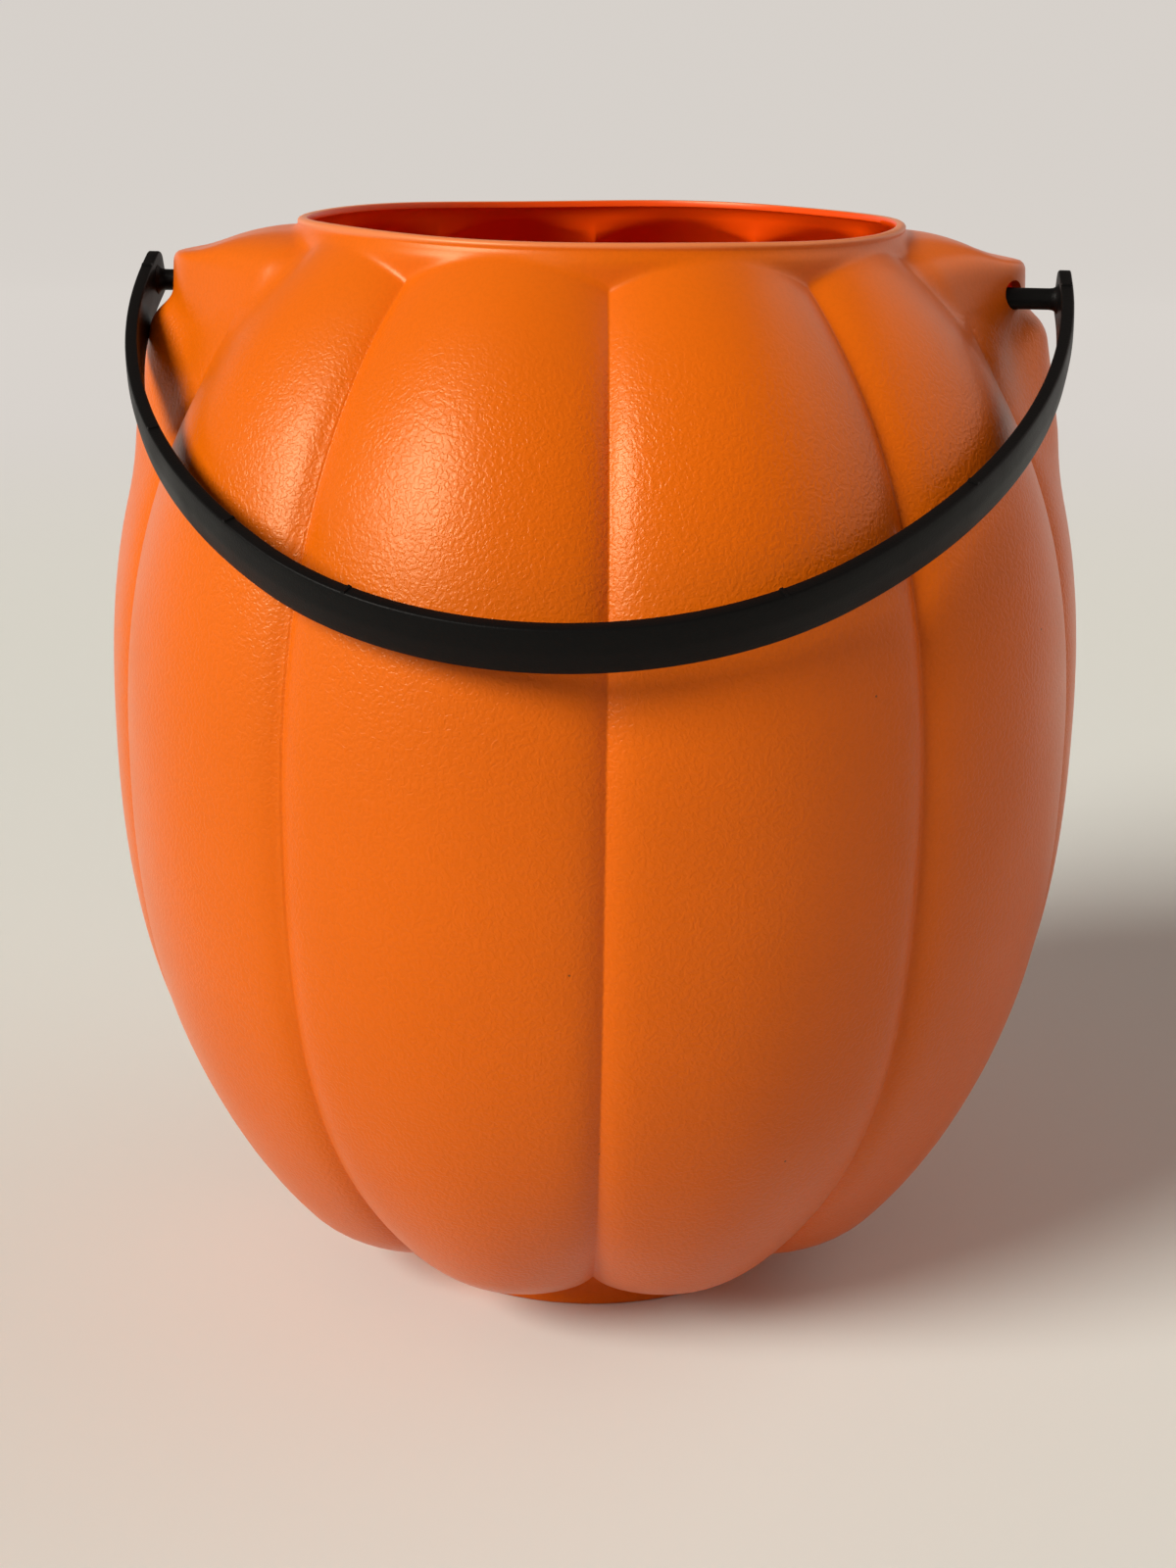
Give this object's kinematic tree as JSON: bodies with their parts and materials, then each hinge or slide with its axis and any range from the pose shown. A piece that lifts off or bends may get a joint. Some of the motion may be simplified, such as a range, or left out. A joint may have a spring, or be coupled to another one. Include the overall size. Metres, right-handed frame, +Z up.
{
  "type": "pumpkin candy pail",
  "caption": "Pumpkin-shaped candy pail: a hollow lobed plastic shell with a round mouth and hollow ears, carried by a strap handle that swings on snap-in pegs.",
  "frame": {"origin": "on the table, under the middle of the foot ring", "axes": "+Z up through the mouth, -Y towards the plain front where the strap hangs, X through the two ears"},
  "size_m": [0.216, 0.2218, 0.2346],
  "materials": {
    "orange_shell": "satin, fine pebbled grain",
    "black_strap": "satin"
  },
  "bodies": {
    "pail": {"pail_shell": "orange_shell"},
    "handle": {"strap_handle": "black_strap"}
  },
  "joints": [
    {"name": "handle_swing", "type": "hinge", "parent": "pail", "child": "handle", "pos_m": [0, 0, 0.2197], "axis": [-0.9945, 0.1045, 0], "range_deg": [0, 228]}
  ]
}
